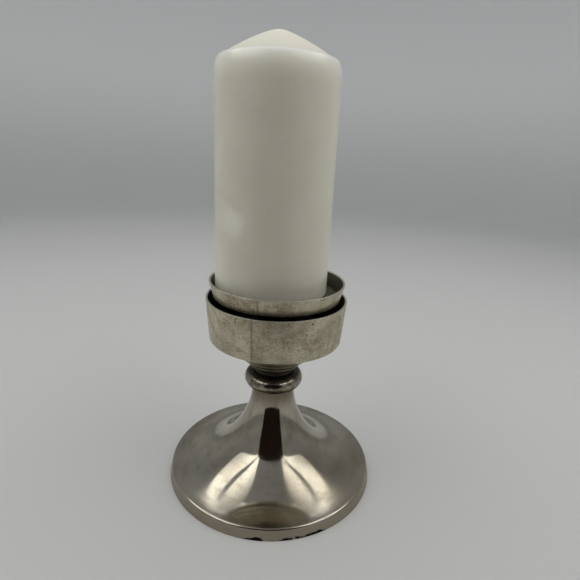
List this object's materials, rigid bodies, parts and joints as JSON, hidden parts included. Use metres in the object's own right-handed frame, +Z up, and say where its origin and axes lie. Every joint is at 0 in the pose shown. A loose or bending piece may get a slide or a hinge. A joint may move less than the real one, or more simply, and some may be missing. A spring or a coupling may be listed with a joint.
{
  "type": "pedestal candle holder",
  "caption": "Pedestal candle holder with a weighted trumpet foot, beaded stem, screw-on drum cup, lift-out drip pan and a white pillar candle.",
  "frame": {"origin": "on the table, under the middle of the foot", "axes": "+Z up along the stem, -Y towards the viewer of the picture, +X to the viewer's right"},
  "size_m": [0.14, 0.14, 0.2778],
  "materials": {
    "foot_plate": "polished nickel plate, aged",
    "cup_plate": "satin nickel plate, tarnished and speckled",
    "steel": "plain steel fastener",
    "brass": "turned brass",
    "cement": "cast filler",
    "felt": "glued felt",
    "washer_leather": "dark leather washer",
    "wax": "white candle wax, slightly glossy",
    "cotton": "braided cotton wick"
  },
  "bodies": {
    "pedestal": {"foot_shell": "foot_plate", "foot_weight": "cement", "felt_pad": "felt", "tie_rod": "steel", "rod_washer": "steel", "rod_nut": "steel", "knop_ring": "foot_plate", "jam_nut": "steel"},
    "washer": {"cup_washer": "washer_leather"},
    "cup": {"cup_funnel": "cup_plate", "cup_band": "cup_plate", "cup_socket": "brass"},
    "drip_pan": {"pan_wall": "cup_plate", "pan_floor": "cup_plate", "pan_peg": "brass"},
    "candle": {"wax_pillar": "wax", "wick": "cotton"}
  },
  "joints": [
    {"name": "cup_rise", "type": "slide", "parent": "pedestal", "child": "washer", "axis": [0, 0, 1], "range_m": [0, 0.0038]},
    {"name": "cup_turn", "type": "hinge", "parent": "washer", "child": "cup", "pos_m": [0, 0, 0.0766], "axis": [0, 0, 1], "range_deg": [0, 1080]},
    {"name": "pan_lift", "type": "slide", "parent": "cup", "child": "drip_pan", "axis": [0, 0, 1], "range_m": [0, 0.06]},
    {"name": "candle_lift", "type": "slide", "parent": "drip_pan", "child": "candle", "axis": [0, 0, 1], "range_m": [0, 0.06]}
  ],
  "couplings": [
    {"joint": "cup_rise", "follows": "cup_turn", "m_per_rad": 0.00019894}
  ]
}
